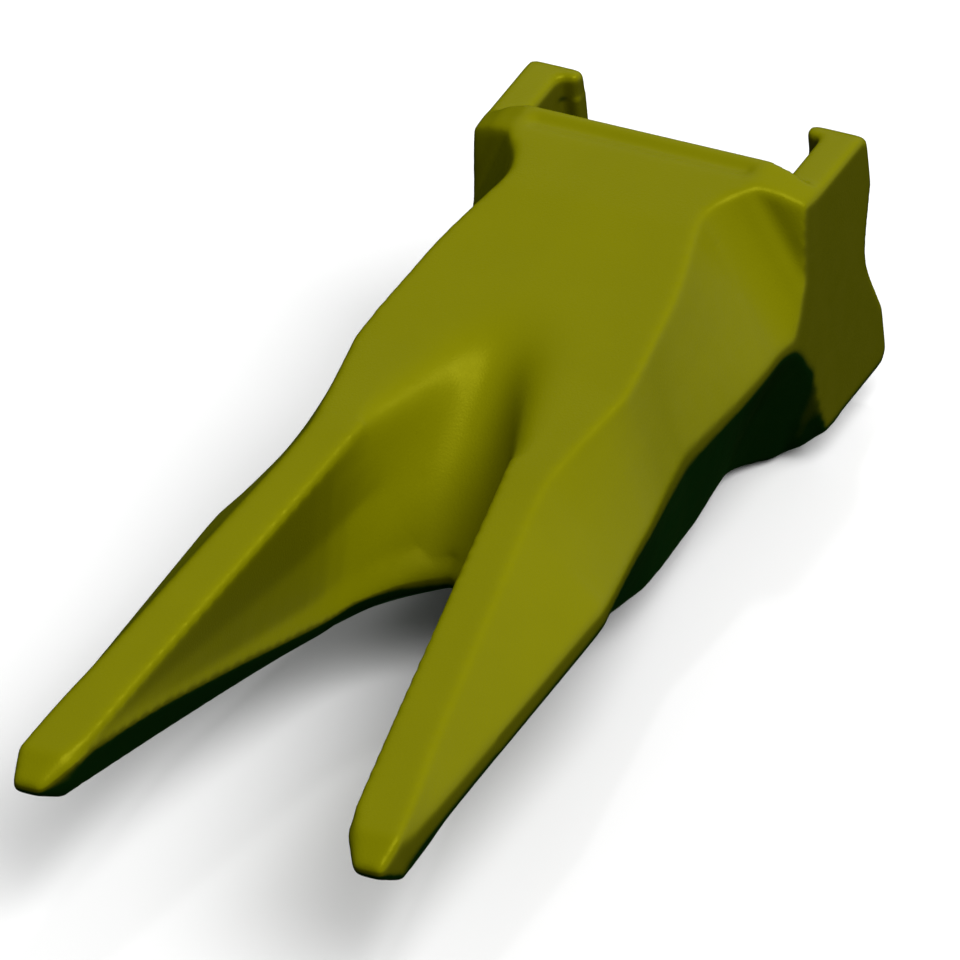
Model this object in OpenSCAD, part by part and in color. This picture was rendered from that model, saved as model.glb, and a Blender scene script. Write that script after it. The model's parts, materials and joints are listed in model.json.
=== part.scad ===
// Twin-pick bucket tooth point with a hammerless vertical lock in each ear.
// Millimetres. X is the width (+X right), Y runs rearwards, Z is up.
// The origin is the middle of the socket mouth, at half height.

/* [Point] */
// Width over the outer faces of the two ears
ear_w = 150; // [140:1:170]
// Distance from the socket mouth to the cutting tips
reach = 402; // [392:1:460]
// Thickness of each ear plate
ear_t = 16.5; // [12:0.5:22]
// How far the ears stand behind the socket mouth
ear_reach = 43; // [42:1:50]
// Height of the ears
ear_h = 112; // [100:1:124]

/* [Socket] */
// Depth of the tapered part of the socket
socket_depth = 118; // [90:1:125]
// Half width of the socket mouth
mouth_half_w = 48; // [40:0.5:50]
// Half height of the socket mouth
mouth_half_h = 49; // [40:0.5:52]

/* [Lock] */
// Radius of the lock pin's barrel
pin_r = 8.5; // [8:0.25:8.75]
// Radial running clearance of the pin in its housing
pin_gap = 0.06; // [0.02:0.01:0.1]
// Height of the lock housing
lock_h = 68; // [60:1:72]
// Distance from the mid plane to the lock pin's axis
pin_x = 38; // [36:0.5:38]
// Clearance between a sliding lock part and the casting
slide_gap = 0.4; // [0.3:0.05:0.6]

/* [Hidden] */
$fn = 64;
half_w = ear_w / 2;
ear_in = half_w - ear_t;
half_ear_h = ear_h / 2;
body_half_w = half_w - 0.3;
hook_front = ear_reach - 10;
ear_r = 7.5;
pin_y = 13.2;
half_lock_h = lock_h / 2;
house_in = pin_x - pin_r + 2;
house_out = ear_in - slide_gap;
house_front = 0.6;
house_back = hook_front - 3.2;
head_r = pin_r + 2;
head_h = 4;
square = 9;
square_deep = 12;
pin_top = half_lock_h - 1;
pin_bottom = -half_lock_h + 2;
plunger_r = 3;
plunger_y0 = pin_y + pin_r - 1.2;
plunger_len = 3.4;
plunger_travel = 1.2;
screw_len = 2.2;
scoop_r = 27;
scoop_x = 70;
scoop_y = -41.5;
scoop_lean = 29.5;
rim_x = 54;
groove_r = 5;
crotch_y = -190;
steel_grey = [0.45, 0.45, 0.43];
olive = [0.51, 0.50, 0.05];
rubber_black = [0.08, 0.08, 0.08];

// ---- Lengthwise shape of the point, as distances from the socket mouth ----

// Half width at the parting line.
function parting_x(y) = lookup(y, [
    [-reach, 81.5], [-390, 84.5], [-220, 86], [-210, 84.4], [-178, 79], [-162, 77],
    [-137, 72.5], [-121, 70], [-114, 69], [-95, 70.5], [-72, 72.5], [-50, 73], [-41.5, 72.5]
]);
// Half width of the upper face.
function top_x(y) = lookup(y, [
    [-reach, 81.3], [-390, 84.2], [-363, 79.5], [-340, 74.5], [-267, 63], [-217, 54.6],
    [-195, 52.5], [-170, 55.5], [-142, 60], [-122, 58.5], [-104, 56], [-83, 53.5],
    [-65, 49], [-46.5, 44], [-41.5, 43]
]);
// Half height of the upper face.
function top_z(y) = lookup(y, [
    [-reach, 2.8], [-390, 10.6], [-340, 19.5], [-267, 31], [-195, 42.5], [-142, 47.5],
    [-83, 55.5], [-46, 61.5], [0, 65.5]
]);
// Depth of the lower face, which swells below the ears.
function lower_drop(y) = lookup(y, [[-70, 0], [-25, 6], [0, 6]]);
function bottom_z(y) = top_z(y) + lower_drop(y);
// Half width of the valley at the upper face, which is the inner edge of a tine's land.
function valley_x(y) = lookup(y, [
    [-reach, 69.8], [-378, 58.8], [-241, 39.3], [-186, 32], [-155, 20], [-125, 9], [-108, 0.5]
]);
// Half width of the gap between the tines, at the lower edge of their inner walls.
function gap_x(y) = lookup(y, [
    [-reach, 68.4], [-390, 60.5], [-375, 57], [-335, 50.3], [-286, 42.2], [-235, 32],
    [-220, 26], [-205, 16], [-196, 8], [crotch_y, 0]
]);
// Height of the lower edge of the inner wall, and of the valley floor behind the crotch.
function inner_z(y) = y > -108 ? top_z(y) - 0.1 : lookup(y, [
    [-reach, 1.6], [-390, 7.5], [-375, 6.5], [-335, 0], [-286, -12], [-235, -24], [-205, -22],
    [crotch_y, -22], [-180, -8], [-170, 4], [-155, 19], [-142, 31.5], [-130, 41], [-120, 47],
    [-108, 51.3]
]);
// Height of the lower edge of the narrow face under the inner wall.
function under_z(y) = y > -142 ? 0.1 - bottom_z(y) : lookup(y, [
    [-reach, -1.6], [-390, -3], [-375, -3.5], [-335, -9], [-286, -20], [-235, -31.5],
    [-205, -28.5], [crotch_y, -29], [-180, -34], [-165, -41.5], [-155, -45], [-142, -47.3]
]);
// How far that narrow face leans back under the tine.
function undercut(y) = lookup(y, [[-reach, 0.5], [-390, 2], [-375, 4], [-220, 4], [crotch_y, 0]]);
// Inner edge of the lower face.
function lower_valley_x(y) = lookup(y, [
    [-reach, 69.8], [-390, 66], [-335, 59], [-241, 44], [-205, 36], [crotch_y, 30], [-165, 14],
    [-142, 0.5]
]);
// Half height of the upright band along the outer side.
function band_z(y) = lookup(y, [[-reach, 2.6], [-390, 5], [-230, 5], [-200, 3.5], [0, 3]]);

// Where the side scoop in front of an ear meets the upper face.
function scoop_edge(y) = scoop_x - sqrt(max(0, pow(scoop_r, 2) - pow(y - scoop_y, 2)));

function is_scooped(y) = y > scoop_y;
function upper_x(y) = !is_scooped(y) ? top_x(y) : min(rim_x, scoop_edge(y));
function lower_x(y) = !is_scooped(y) ? parting_x(y) : min(body_half_w, scoop_edge(y) + scoop_lean);

// Behind the scoop the flank stops at the ear's outer face.
function is_cut_by_ear(y) = is_scooped(y) && lower_x(y) >= body_half_w;

// Height at which the leaning flank reaches the ear's outer face.
function flank_cut_z(y) =
    top_z(y) - (body_half_w - upper_x(y)) / scoop_lean * (top_z(y) - band_z(y));
function side_z(y) =
    y > -13 ? half_ear_h - 0.4
    : y > -16 ? half_ear_h * 0.75
    : !is_cut_by_ear(y) ? (top_z(y) + band_z(y)) / 2
    : flank_cut_z(y);
function side_x(y) =
    y > -16 ? body_half_w - 0.2
    : !is_cut_by_ear(y) ? (upper_x(y) + lower_x(y)) / 2
    : body_half_w;
function shoulder_x(y) = (upper_x(y) + side_x(y)) / 2;
function shoulder_z(y) = y > -16 ? (top_z(y) + half_ear_h) / 2 + 1 : (top_z(y) + side_z(y)) / 2;

// Upper half of one section of the right side, from the inner wall out to the parting line.
function upper_half(y) =
    let (v = max(valley_x(y), 0.5), g = y < crotch_y ? gap_x(y) : 0,
         f = min(inner_z(y), top_z(y) - 0.1), h = top_z(y))
    [
        [g, f],
        [g + (v - g) * 0.42, f + (h - f) * 0.16],
        [g + (v - g) * 0.80, f + (h - f) * 0.52],
        [v, h],
        [max(upper_x(y), v + 2), h],
        [max(shoulder_x(y), v + 3), shoulder_z(y)],
        [side_x(y), side_z(y)],
        [lower_x(y), band_z(y)]
    ];
// Lower half, from the parting line in to the underside of the inner wall.
function lower_half(y) =
    let (u = upper_half(y), edge = [max(lower_valley_x(y), 0.5), -bottom_z(y)],
         inner = [y < crotch_y ? gap_x(y) + undercut(y) : 0, under_z(y)])
    concat(
        [for (i = [7:-1:4]) [max(u[i].x, edge.x + 2), -u[i].y - lower_drop(y) * max(0, 6 - i) / 2]],
        [for (t = [0:3]) edge + (inner - edge) * t / 3]
    );
function section(y) = [for (p = concat(upper_half(y), lower_half(y))) [p.x, y, p.y]];

// The stations run rearwards. The first ones are the separate tines.
tine_stations = concat([-reach, -390, -378], [for (y = [-360:15:-255]) y],
    [-242, -232, -220, -210, -204, -198, -193]);
body_stations = [
    crotch_y, -184, -177, -170, -162, -155, -148, -142, -135, -125, -115, -108, -100, -88,
    -76, -65, -55, -48, -41.5, -37, -33, -29, -25, -21, -18, -15, -12, 0
];
stations = concat(tine_stations, body_stations);

// Two triangles across each quad between neighbouring sections.
function quad(a, b, c, d) = [[a, d, b], [a, c, d]];

// Both sides of the point as one closed surface. The two sides share their middle points
// behind the crotch, and close separately in front of it.
module point_body() {
    right = [for (y = stations) section(y)];
    n = len(right[0]);
    m = len(stations);
    split = len(tine_stations);
    left = [for (s = right) [for (p = s) [-p.x, p.y, p.z]]];
    points = concat([for (s = right) each s], [for (s = left) each s]);
    function at(side, i, j) =
        side == 1 && i >= split && (j == 0 || j == n - 1) ? i * n + j : side * m * n + i * n + j;
    function face(side, f) = side == 0 ? f : [f[2], f[1], f[0]];
    walls = [for (side = [0, 1], i = [0:m - 2], j = [0:n - 1])
        if (j < n - 1 || i < split)
            let (k = (j + 1) % n)
            for (f = quad(at(side, i, j), at(side, i, k), at(side, i + 1, j), at(side, i + 1, k)))
                face(side, f)];
    // Each end is closed by strips from the upper half of its section to the lower half.
    ends = [for (side = [0, 1], j = [0:n / 2 - 2], i = [0, m - 1])
        let (e = (side + (i > 0 ? 1 : 0)) % 2)
            for (f = quad(at(side, i, n - 1 - j), at(side, i, n - 2 - j), at(side, i, j), at(side, i, j + 1)))
                face(e, f)];
    polyhedron(points, concat(walls, ends), convexity = 8);
}

// Plain loft through sections with the same number of points.
module loft(sections) {
    n = len(sections[0]);
    m = len(sections);
    walls = [for (i = [0:m - 2], j = [0:n - 1])
        let (a = i * n + j, b = i * n + (j + 1) % n)
        each quad(a, b, a + n, b + n)];
    first = [for (j = [0:n - 1]) j];
    last = [for (j = [n - 1:-1:0]) (m - 1) * n + j];
    polyhedron([for (s = sections) each s], concat(walls, [first], [last]), convexity = 4);
}

// ---- Casting details ----

// Ear plate seen from the side, with the shallow notch at half height.
module ear_profile() {
    h = half_ear_h;
    corner = [for (a = [90:-22.5:0]) [ear_reach - ear_r + ear_r * cos(a), h - ear_r + ear_r * sin(a)]];
    notch = [[ear_reach, 31], [ear_reach - 3.5, 22], [ear_reach - 8, 10], [ear_reach - 9.5, 4]];
    upper = concat([[-6, h]], corner, notch);
    lower = [for (i = [len(upper) - 1:-1:0]) [upper[i].x, -upper[i].y]];
    polygon(concat(upper, lower));
}

// A plate of the ear's outline, from one distance off the mid plane to another.
module ear_slab(from, to) {
    translate([from, 0, 0])
        rotate([90, 0, 90])
            linear_extrude(to - from)
                ear_profile();
}

// The ear plate with its inward hooks at the rear, on the right side. The hooks follow the
// ear's rounded corners.
module ear() {
    ear_slab(ear_in, half_w);
    intersection() {
        ear_slab(ear_in - 10, ear_in + 2);
        for (side = [-1, 1])
            translate([0, 0, side * 36 - 20])
                linear_extrude(40)
                    hook_plan();
    }
}

// Plan shape of the hook that closes the rear of a lock pocket.
module hook_plan() {
    tip = ear_in - 7.5;
    polygon([
        [ear_in + 1, hook_front], [tip + 1.5, hook_front], [tip, hook_front + 1.5],
        [tip, ear_reach - 3], [tip + 2.5, ear_reach - 0.8], [ear_in + 1, ear_reach - 0.8]
    ]);
}

// Tapered box that the adapter nose fills, with its stabilising seat at the front.
module socket_void() {
    loft([
        nose_section(-socket_depth, 32, 20),
        nose_section(1, mouth_half_w, mouth_half_h)
    ]);
    translate([-28, -socket_depth - 18, -13])
        cube([56, 20, 26]);
}

// Rectangle with cut corners, across the socket.
function nose_section(y, w, h) = let (c = 7) [
    [w - c, y, h], [w, y, h - c], [w, y, c - h], [w - c, y, -h],
    [c - w, y, -h], [-w, y, c - h], [-w, y, h - c], [c - w, y, h]
];

// Shallow groove across the upper and lower faces just ahead of the socket mouth.
module rim_groove() {
    y = -9;
    depth = 1.8;
    for (z = [top_z(y) + groove_r - depth, depth - groove_r - bottom_z(y)])
        translate([-rim_x + 4, y, z])
            rotate([0, 90, 0])
                cylinder(h = 2 * rim_x - 8, r = groove_r, $fn = 32);
}

// Sides of the socket's rim, set back so that the adapter bears on the top and bottom only.
module rim_relief() {
    for (side = [0, 1])
        mirror([side, 0, 0])
            translate([mouth_half_w - 4, -2, -36])
                cube([ear_in - mouth_half_w + 4, 4, 72]);
}

module tooth_point() {
    color(olive)
        difference() {
            union() {
                point_body();
                for (side = [0, 1])
                    mirror([side, 0, 0])
                        ear();
            }
            socket_void();
            rim_groove();
            rim_relief();
        }
}

// ---- Lock parts, all drawn for the right ear ----

module housing_block() {
    difference() {
        translate([house_in, house_front, -half_lock_h])
            cube([house_out - house_in, house_back - house_front, lock_h]);
        // Chamfers that lead the block into the pocket.
        for (end = [-1, 1])
            translate([house_in, house_front, end * half_lock_h])
                rotate([45, 0, 0])
                    cube([60, 4, 4], center = true);
    }
}

module lock_housing() {
    color(steel_grey)
        difference() {
            housing_block();
            translate([pin_x, pin_y, -half_lock_h - 1])
                cylinder(h = lock_h + 2, r = pin_r + pin_gap);
            translate([pin_x, pin_y, half_lock_h - head_h - 1 - slide_gap])
                cylinder(h = head_h + 8, r = head_r + slide_gap);
            translate([pin_x, pin_y, -half_lock_h - 1])
                cylinder(h = 7 + slide_gap, r = head_r + slide_gap);
            // Cross bore for the detent.
            translate([pin_x, pin_y, 0])
                rotate([-90, 0, 0])
                    cylinder(h = 40, r = plunger_r + pin_gap);
        }
}

module lock_pin() {
    color(steel_grey)
        difference() {
            union() {
                translate([pin_x, pin_y, pin_bottom])
                    cylinder(h = pin_top - pin_bottom, r = pin_r);
                translate([pin_x, pin_y, pin_top - head_h])
                    cylinder(h = head_h, r = head_r);
            }
            // Square drive recess.
            translate([pin_x - square / 2, pin_y - square / 2, pin_top - square_deep])
                cube([square, square, square_deep + 1]);
            // Groove for the retaining ring.
            translate([pin_x, pin_y, pin_bottom + 1.5])
                ring_shape(pin_r + 1, pin_r - 1.2, 2.1);
            // Flat that faces inwards and clears the adapter when the pin is turned a quarter.
            translate([pin_x - 14, pin_y - pin_r - 4, -18])
                cube([28, 7, 36]);
            // Quarter-turn groove for the plunger, with a deeper dimple at each end.
            translate([pin_x, pin_y, 0]) {
                rotate([0, 0, 90])
                    rotate_extrude(angle = 90)
                        translate([pin_r + 1.6, 0])
                            circle(3.4);
                for (turn = [90, 180])
                    rotate([0, 0, turn])
                        translate([pin_r + 1.4, 0, 0])
                            sphere(3.6);
            }
        }
}

// Flat ring with its bottom face at zero.
module ring_shape(outer, inner, h) {
    difference() {
        cylinder(h = h, r = outer);
        translate([0, 0, -1])
            cylinder(h = h + 2, r = inner);
    }
}

// Open retaining ring in the pin's groove.
module retaining_ring() {
    color(steel_grey)
        translate([pin_x, pin_y, pin_bottom + 1.5])
            difference() {
                ring_shape(pin_r + 1.6, pin_r - 1.2, 2);
                translate([-2.5, 0, -1])
                    cube([5, 20, 4]);
            }
}

module detent_plunger() {
    color(steel_grey)
        translate([pin_x, plunger_y0, 0])
            rotate([-90, 0, 0]) {
                translate([0, 0, 1.4])
                    cylinder(h = plunger_len - 1.4, r = plunger_r);
                cylinder(h = 1.5, r1 = 1.2, r2 = plunger_r);
            }
}

// Urethane spring column bonded behind the plunger. It is drawn at its squeezed length, so it
// clears the screw when the plunger is pushed back.
module detent_spring() {
    room = house_back - screw_len - plunger_y0 - plunger_len;
    color(rubber_black)
        translate([pin_x, plunger_y0 + plunger_len, 0])
            rotate([-90, 0, 0])
                cylinder(h = room - plunger_travel - 0.3, r = plunger_r - 0.4);
}

module detent_screw() {
    color(steel_grey)
        translate([pin_x, house_back - screw_len, 0])
            rotate([-90, 0, 0])
                difference() {
                    cylinder(h = screw_len, r = plunger_r + pin_gap);
                    translate([0, 0, 1])
                        cylinder(h = 3, r = 1.5, $fn = 6);
                }
}

// Rubber pad bonded to the housing's rear face, which bears on the hook.
module preload_pad() {
    color(rubber_black)
        difference() {
            translate([house_in + 2, house_back, -half_lock_h + 3])
                cube([house_out - house_in - 4, 2.8, lock_h - 6]);
            translate([pin_x, house_back - 1, 0])
                rotate([-90, 0, 0])
                    cylinder(h = 6, r = 5);
        }
}

// Soft plug that keeps dirt out of the square drive.
module drive_plug() {
    side = square - 0.6;
    color(rubber_black) {
        translate([pin_x - side / 2, pin_y - side / 2, pin_top - square_deep + 1])
            cube([side, side, square_deep - 0.5]);
        translate([pin_x, pin_y, pin_top + 0.3])
            cylinder(h = 1.6, r = 7);
    }
}

module on_left() {
    mirror([1, 0, 0])
        children();
}

tooth_point();
lock_housing();  // lock_housing_right
on_left() lock_housing();  // lock_housing_left
lock_pin();  // lock_pin_right
on_left() lock_pin();  // lock_pin_left
retaining_ring();  // retaining_ring_right
on_left() retaining_ring();  // retaining_ring_left
detent_plunger();  // detent_plunger_right
on_left() detent_plunger();  // detent_plunger_left
detent_spring();  // detent_spring_right
on_left() detent_spring();  // detent_spring_left
detent_screw();  // detent_screw_right
on_left() detent_screw();  // detent_screw_left
preload_pad();  // preload_pad_right
on_left() preload_pad();  // preload_pad_left
drive_plug();  // drive_plug_right
on_left() drive_plug();  // drive_plug_left
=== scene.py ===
"""Finished look of the twin-pick bucket tooth point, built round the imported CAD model."""

import json
import math

import bpy
import numpy as np
from mathutils import Matrix, Vector


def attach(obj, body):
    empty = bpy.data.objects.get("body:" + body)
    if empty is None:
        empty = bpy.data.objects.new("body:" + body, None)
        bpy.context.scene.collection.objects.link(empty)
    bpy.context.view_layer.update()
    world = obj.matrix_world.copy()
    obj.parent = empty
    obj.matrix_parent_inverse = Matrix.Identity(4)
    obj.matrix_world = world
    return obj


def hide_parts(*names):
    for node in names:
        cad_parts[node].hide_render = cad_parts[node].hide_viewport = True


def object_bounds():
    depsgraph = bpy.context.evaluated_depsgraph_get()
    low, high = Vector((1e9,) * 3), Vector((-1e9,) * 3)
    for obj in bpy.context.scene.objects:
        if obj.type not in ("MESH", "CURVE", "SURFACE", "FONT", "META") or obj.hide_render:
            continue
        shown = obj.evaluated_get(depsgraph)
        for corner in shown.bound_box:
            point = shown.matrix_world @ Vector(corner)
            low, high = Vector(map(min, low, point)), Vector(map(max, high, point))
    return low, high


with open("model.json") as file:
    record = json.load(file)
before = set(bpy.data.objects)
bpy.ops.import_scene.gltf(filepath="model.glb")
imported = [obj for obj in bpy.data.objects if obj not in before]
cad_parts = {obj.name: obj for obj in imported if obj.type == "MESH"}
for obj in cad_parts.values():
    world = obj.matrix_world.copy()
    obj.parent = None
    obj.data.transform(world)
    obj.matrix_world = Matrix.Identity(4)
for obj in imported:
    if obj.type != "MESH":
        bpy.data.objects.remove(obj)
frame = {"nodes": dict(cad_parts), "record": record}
cad_low, cad_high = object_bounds()
scene = bpy.context.scene

# ---- Camera: a very long lens, for almost no perspective ----

AZIMUTH = math.radians(30.6)
ELEVATION = math.radians(36.0)
ROLL = math.radians(5.7)
FIELD_WIDTH = 0.3785
LENS = 1200.0
SENSOR = 36.0
NEAR_CLIP = 0.1
# Middle of the view, in metres along the camera's right, up and backward directions.
VIEW_CENTRE = (-0.0729, -0.0861, 0.125)

# ---- Colours, linear ----

OLIVE = (0.158, 0.158, 0.0004)
# Painted shade, darker olive on upright faces.
OLIVE_PAINTED_SHADE = (0.072, 0.072, 0.0003)
# Lighter olive for random patches, and a painted highlight along ridges.
OLIVE_PATCH_AND_HIGHLIGHT = (0.195, 0.194, 0.0005)
# Painted shade, dark green on faces that look down.
PAINTED_SHADE_GREEN = (0.002, 0.014, 0.0015)
HOUSING_GREY = (0.055, 0.055, 0.052)
PIN_GREY = (0.24, 0.24, 0.235)
RUBBER = (0.016, 0.016, 0.016)
PALE = (0.86, 0.86, 0.86)
GLOSS_TINT = (1.0, 0.95, 0.04)
SKY_WHITE = (1, 1, 1)
SHADOW_GREEN = (0.008, 0.045, 0.008)

# ---- Paint ----

# Upward part of the normal over which each colour gives way to the next: painted shade on upright
# faces, and dark green painted shade on faces that look down.
LIT_SPAN = (0.0, 0.24)
SHADE_SPAN = (-0.22, 0.0)
PATCH_SCALE = 24
PATCH_SPAN = (0.35, 0.7)
PATCH_MIX = 0.16
# Painted highlight along ridges, where the surface is sharpest.
RIDGE_HIGHLIGHT_SPAN = (0.52, 0.62)
RIDGE_HIGHLIGHT_MIX = 0.15
SHEEN_SCALE = 140
SHEEN_SPAN = (0.3, 0.7)
PAINT_ROUGHNESS = (0.28, 0.38)
PAINT_SPECULAR = 0.24
SAND_SCALE = 1100
SAND_BUMP = (0.22, 0.0004)
FINE_DETAIL = 3.0

# ---- Steel and rubber ----

LIGHTER = 1.18
ROUGHNESS_SPREAD = 0.16
LATHE_MARKS = 450
LATHE_WOBBLE = 0.6
LATHE_BUMP = (0.25, 0.00004)
GRAIN_BUMP = (0.18, 0.0002)
HOUSING_BEVEL = 0.0006
SMALL_BEVEL = 0.00025
BEVEL_SEGMENTS = 2
BEVEL_ANGLE = 40

# ---- Light and floor ----

SKY_TOWARDS = (0.85, 0.1, 1.0)
SKY_STRENGTH = 0.4
SKY_BLEND = 0.45
SUN_TOWARDS = (0.65, -0.2, 1.0)
SUN_POWER = 3.2
SUN_SPREAD = 45
# Place, size and power of each fill lamp.
FILL_LAMPS = {
    "high_fill": ((-0.15, 0.75, 1.2), 0.1, 2.4),
    "rear_fill": ((-0.5, 1.1, 0.45), 0.9, 5.0),
}
FLOOR_HALF = 15
FLOOR_GAP = 0.0005
FLOOR_ROUGHNESS = 0.9

# ---- Casting finish, in metres ----

WELD_DISTANCE = 0.00001
CAST_VOXEL = 0.0012
SMOOTH_FACTOR = 0.5
SMOOTH_STEPS = 26
# Front end, half width and half height of the spaces that have to keep their fit.
SOCKET_SPACE = (-0.14, 0.0495, 0.0505)
POCKET_SPACE = (-0.002, 0.066, 0.045)
POCKET_SMOOTHING = 0.12
# The part of the valley that is rounder than the rest.
VALLEY_STEPS = 900
VALLEY_MIDDLE = -0.132
VALLEY_HALF_LENGTH = 0.058
VALLEY_HALF_WIDTH = 0.038
VALLEY_LOWEST = -0.016


def camera_axes():
    """Right, up and backward directions of the camera."""
    back = Vector((
        math.sin(AZIMUTH) * math.cos(ELEVATION),
        -math.cos(AZIMUTH) * math.cos(ELEVATION),
        math.sin(ELEVATION),
    ))
    right = Vector((math.cos(AZIMUTH), math.sin(AZIMUTH), 0))
    up = back.cross(right)
    rolled_right = math.cos(ROLL) * right - math.sin(ROLL) * up
    rolled_up = math.sin(ROLL) * right + math.cos(ROLL) * up
    return rolled_right, rolled_up, back


def make_camera():
    data = bpy.data.cameras.new("camera")
    data.sensor_width = SENSOR
    data.lens = LENS
    distance = FIELD_WIDTH * LENS / SENSOR
    data.clip_start = NEAR_CLIP
    data.clip_end = distance * 3
    camera = bpy.data.objects.new("camera", data)
    scene.collection.objects.link(camera)
    right, up, back = camera_axes()
    place = right * VIEW_CENTRE[0] + up * VIEW_CENTRE[1] + back * (VIEW_CENTRE[2] + distance)
    turn = Matrix((right, up, back)).transposed()
    camera.matrix_world = Matrix.Translation(place) @ turn.to_4x4()
    scene.camera = camera


# ---- Materials ----


class Nodes:
    """Short way to add shader nodes to one material."""

    def __init__(self, name):
        self.material = bpy.data.materials.new(name)
        self.material.use_nodes = True
        self.tree = self.material.node_tree
        self.shader = self.tree.nodes["Principled BSDF"]

    def add(self, kind, **values):
        node = self.tree.nodes.new(kind)
        for key, value in values.items():
            setattr(node, key, value)
        return node

    def link(self, out, into):
        self.tree.links.new(out, into)

    def noise(self, scale, detail=4.0):
        place = self.add("ShaderNodeTexCoord")
        node = self.add("ShaderNodeTexNoise")
        node.inputs["Scale"].default_value = scale
        node.inputs["Detail"].default_value = detail
        self.link(place.outputs["Object"], node.inputs["Vector"])
        return node.outputs["Fac"]

    def rings(self, scale):
        """Fine rings stacked along the vertical axis."""
        place = self.add("ShaderNodeTexCoord")
        node = self.add("ShaderNodeTexWave", wave_type="BANDS", bands_direction="Z")
        node.inputs["Scale"].default_value = scale
        node.inputs["Distortion"].default_value = LATHE_WOBBLE
        self.link(place.outputs["Object"], node.inputs["Vector"])
        return node.outputs["Fac"]

    def span(self, value, low, high, to_low, to_high):
        node = self.add("ShaderNodeMapRange", interpolation_type="SMOOTHSTEP")
        for name, number in (
            ("From Min", low), ("From Max", high), ("To Min", to_low), ("To Max", to_high),
        ):
            node.inputs[name].default_value = number
        self.link(value, node.inputs["Value"])
        return node.outputs["Result"]

    def mix(self, factor, a, b):
        """Colour between a and b, each a colour or a socket."""
        node = self.add("ShaderNodeMix", data_type="RGBA")
        self.link(factor, node.inputs["Factor"])
        for name, colour in (("A", a), ("B", b)):
            socket = next(s for s in node.inputs if s.name == name and s.type == "RGBA")
            if isinstance(colour, tuple):
                socket.default_value = (*colour, 1)
            else:
                self.link(colour, socket)
        return next(s for s in node.outputs if s.type == "RGBA")

    def bump(self, height, strength, distance):
        node = self.add("ShaderNodeBump")
        node.inputs["Strength"].default_value = strength
        node.inputs["Distance"].default_value = distance
        self.link(height, node.inputs["Height"])
        self.link(node.outputs["Normal"], self.shader.inputs["Normal"])


def paint_material():
    """Olive paint over a sand casting, with painted shade: darker on upright faces, dark green
    where they look down, and a painted highlight along ridges.
    """
    n = Nodes("olive_paint_with_painted_shade")
    place = n.add("ShaderNodeTexCoord")
    split = n.add("ShaderNodeSeparateXYZ")
    n.link(place.outputs["Normal"], split.inputs["Vector"])
    upward = n.span(split.outputs["Z"], *LIT_SPAN, 0.0, 1.0)
    upright = n.span(split.outputs["Z"], *SHADE_SPAN, 0.0, 1.0)
    patches = n.span(n.noise(PATCH_SCALE), *PATCH_SPAN, 0.0, PATCH_MIX)
    olive = n.mix(patches, OLIVE, OLIVE_PATCH_AND_HIGHLIGHT)
    pointiness = n.add("ShaderNodeNewGeometry").outputs["Pointiness"]
    # Painted highlight: lighter olive along ridges.
    ridge_highlighted = n.mix(n.span(pointiness, *RIDGE_HIGHLIGHT_SPAN, 0.0, RIDGE_HIGHLIGHT_MIX), olive, OLIVE_PATCH_AND_HIGHLIGHT)
    # Painted shade: darker olive on upright faces, by the height of their normal.
    lit = n.mix(upward, OLIVE_PAINTED_SHADE, ridge_highlighted)
    # Painted shade: dark green where the faces look down.
    n.link(n.mix(upright, PAINTED_SHADE_GREEN, lit), n.shader.inputs["Base Color"])
    sheen = n.span(n.noise(SHEEN_SCALE), *SHEEN_SPAN, *PAINT_ROUGHNESS)
    n.link(sheen, n.shader.inputs["Roughness"])
    n.shader.inputs["Specular IOR Level"].default_value = PAINT_SPECULAR
    n.shader.inputs["Specular Tint"].default_value = (*GLOSS_TINT, 1)
    n.bump(n.noise(SAND_SCALE, FINE_DETAIL), *SAND_BUMP)
    return n.material


def metal_material(name, colour, metallic, rough, grain, turned=False):
    """Steel or rubber with a fine grain, or with lathe marks round the vertical axis."""
    n = Nodes(name)
    lighter = tuple(c * LIGHTER for c in colour)
    patches = n.span(n.noise(grain / 6), *PATCH_SPAN, 0, 1)
    n.link(n.mix(patches, colour, lighter), n.shader.inputs["Base Color"])
    n.shader.inputs["Metallic"].default_value = metallic
    sheen = n.span(n.noise(grain / 3), *SHEEN_SPAN, rough, rough + ROUGHNESS_SPREAD)
    n.link(sheen, n.shader.inputs["Roughness"])
    if turned:
        n.bump(n.rings(LATHE_MARKS), *LATHE_BUMP)
    else:
        n.bump(n.noise(grain, FINE_DETAIL), *GRAIN_BUMP)
    return n.material


def floor_material():
    n = Nodes("pale_floor")
    n.shader.inputs["Base Color"].default_value = (*PALE, 1)
    n.shader.inputs["Roughness"].default_value = FLOOR_ROUGHNESS
    return n.material


def dress(piece, material):
    piece.data.materials.clear()
    piece.data.materials.append(material)


def add_weld(piece):
    weld = piece.modifiers.new("weld", "WELD")
    weld.merge_threshold = WELD_DISTANCE


# ---- Casting ----


def freeze(piece):
    """Applies the piece's modifiers to its mesh."""
    bpy.context.view_layer.update()
    graph = bpy.context.evaluated_depsgraph_get()
    mesh = bpy.data.meshes.new_from_object(piece.evaluated_get(graph))
    piece.modifiers.clear()
    piece.data = mesh


def is_within(points, space):
    front, half_width, half_height = space
    x, y, z = np.abs(points[:, 0]), points[:, 1], np.abs(points[:, 2])
    return (y > front) & (x < half_width) & (z < half_height)


def smoothing_weights(points):
    """Full strength outside, and little in the socket and the lock pockets."""
    kept = is_within(points, SOCKET_SPACE) | is_within(points, POCKET_SPACE)
    return np.where(kept, POCKET_SMOOTHING, 1.0)


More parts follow.
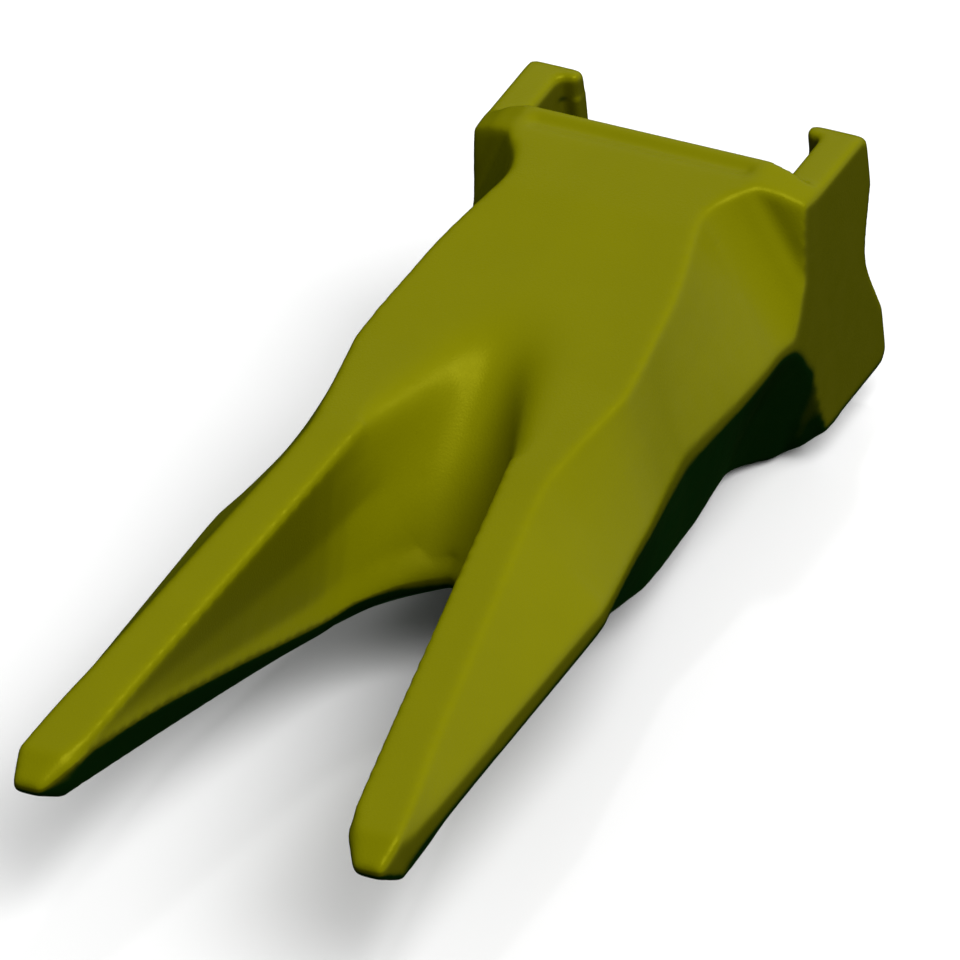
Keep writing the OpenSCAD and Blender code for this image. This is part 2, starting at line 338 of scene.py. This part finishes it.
def valley_weights(points):
    """Where the valley runs out into the upper face, which is rounder than the rest."""
    x, y, z = np.abs(points[:, 0]), points[:, 1], points[:, 2]
    along = np.clip(1 - np.abs(y - VALLEY_MIDDLE) / VALLEY_HALF_LENGTH, 0, 1)
    across = np.clip(1 - x / VALLEY_HALF_WIDTH, 0, 1)
    return np.where(z > VALLEY_LOWEST, np.sqrt(along * across), 0.0)


def smooth_by(piece, name, weights, steps):
    """Smooths the piece in place, each point as strongly as its weight says."""
    group = piece.vertex_groups.new(name=name)
    levels = np.round(weights, 1)
    for value in np.unique(levels):
        group.add(np.flatnonzero(levels == value).tolist(), float(value), "REPLACE")
    smooth = piece.modifiers.new(name, "SMOOTH")
    smooth.factor = SMOOTH_FACTOR
    smooth.iterations = steps
    smooth.vertex_group = name


def make_casting():
    """The cast point with rounded edges. Its uneven skin is bump in the paint."""
    source = frame["nodes"]["tooth_point"]
    piece = bpy.data.objects.new("cast_point", source.data.copy())
    scene.collection.objects.link(piece)
    add_weld(piece)
    remesh = piece.modifiers.new("remesh", "REMESH")
    remesh.mode = "VOXEL"
    remesh.voxel_size = CAST_VOXEL
    freeze(piece)

    points = np.zeros(len(piece.data.vertices) * 3, np.float32)
    piece.data.vertices.foreach_get("co", points)
    points = points.reshape(-1, 3)
    smooth_by(piece, "edges", smoothing_weights(points), SMOOTH_STEPS)
    smooth_by(piece, "valley", valley_weights(points), VALLEY_STEPS)
    freeze(piece)
    piece.data.shade_smooth()

    dress(piece, paint_material())
    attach(piece, "point")
    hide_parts("tooth_point")


# ---- Lock pieces ----


def finish_locks():
    """Materials and broken edges on the lock pieces, which keep their CAD shapes."""
    looks = {
        "lock_steel": metal_material("phosphated_steel", HOUSING_GREY, 0.35, 0.52, 900),
        "pin_steel": metal_material("machined_steel", PIN_GREY, 0.9, 0.26, 1400, turned=True),
        "lock_rubber": metal_material("nitrile_rubber", RUBBER, 0.0, 0.62, 1600),
    }
    for part in frame["record"]["subparts"]:
        if part["material_slot"] not in looks:
            continue
        piece = frame["nodes"][part["node"]]
        dress(piece, looks[part["material_slot"]])
        add_weld(piece)
        bevel = piece.modifiers.new("bevel", "BEVEL")
        bevel.width = HOUSING_BEVEL if "housing" in part["node"] else SMALL_BEVEL
        bevel.segments = BEVEL_SEGMENTS
        bevel.limit_method = "ANGLE"
        bevel.angle_limit = math.radians(BEVEL_ANGLE)


# ---- Stage ----


def make_floor():
    half = FLOOR_HALF
    corners = [(-half, -half, 0), (half, -half, 0), (half, half, 0), (-half, half, 0)]
    mesh = bpy.data.meshes.new("floor")
    mesh.from_pydata(corners, [], [(0, 1, 2, 3)])
    floor = bpy.data.objects.new("floor", mesh)
    floor.location.z = cad_low.z - FLOOR_GAP
    scene.collection.objects.link(floor)
    dress(floor, floor_material())
    floor.visible_diffuse = False
    floor.visible_glossy = False


def make_fill(name, place, size, power):
    """Round lamp aimed at the object, which no glossy surface shows."""
    data = bpy.data.lights.new(name, "AREA")
    data.shape = "DISK"
    data.size = size
    data.energy = power
    lamp = bpy.data.objects.new(name, data)
    lamp.location = place
    aim = (cad_low + cad_high) / 2 - Vector(place)
    lamp.rotation_euler = aim.to_track_quat("-Z", "Y").to_euler()
    lamp.visible_camera = False
    lamp.visible_glossy = False
    scene.collection.objects.link(lamp)


def make_sun(towards, power, spread):
    """Main light, soft at the edges of its shadows, coming from the given direction."""
    data = bpy.data.lights.new("sun", "SUN")
    data.energy = power
    data.angle = math.radians(spread)
    lamp = bpy.data.objects.new("sun", data)
    lamp.rotation_euler = Vector(towards).to_track_quat("Z", "Y").to_euler()
    scene.collection.objects.link(lamp)


def sky_colour(tree):
    """White on the sky's side and dark green below and to the left."""
    place = tree.nodes.new("ShaderNodeTexCoord")
    along = tree.nodes.new("ShaderNodeVectorMath")
    along.operation = "DOT_PRODUCT"
    along.inputs[1].default_value = SKY_TOWARDS
    ramp = tree.nodes.new("ShaderNodeValToRGB")
    low, high = ramp.color_ramp.elements
    low.color = (*SHADOW_GREEN, 1)
    high.color = (*SKY_WHITE, 1)
    high.position = SKY_BLEND
    tree.links.new(place.outputs["Generated"], along.inputs[0])
    tree.links.new(along.outputs["Value"], ramp.inputs["Fac"])
    return ramp.outputs["Color"]


def make_world():
    """Lights the object with the sky's colours. The backdrop stays white from every side."""
    world = bpy.data.worlds.new("studio")
    world.use_nodes = True
    tree = world.node_tree
    sky = tree.nodes["Background"]
    sky.inputs["Strength"].default_value = SKY_STRENGTH
    tree.links.new(sky_colour(tree), sky.inputs["Color"])
    backdrop = tree.nodes.new("ShaderNodeBackground")
    backdrop.inputs["Color"].default_value = (*SKY_WHITE, 1)
    seen = tree.nodes.new("ShaderNodeLightPath")
    choose = tree.nodes.new("ShaderNodeMixShader")
    tree.links.new(seen.outputs["Is Camera Ray"], choose.inputs[0])
    tree.links.new(sky.outputs[0], choose.inputs[1])
    tree.links.new(backdrop.outputs[0], choose.inputs[2])
    tree.links.new(choose.outputs[0], tree.nodes["World Output"].inputs["Surface"])
    scene.world = world


make_camera()
make_world()
make_floor()
make_sun(SUN_TOWARDS, SUN_POWER, SUN_SPREAD)
for name, (place, size, power) in FILL_LAMPS.items():
    make_fill(name, place, size, power)
make_casting()
finish_locks()
scene.view_settings.view_transform = "Standard"
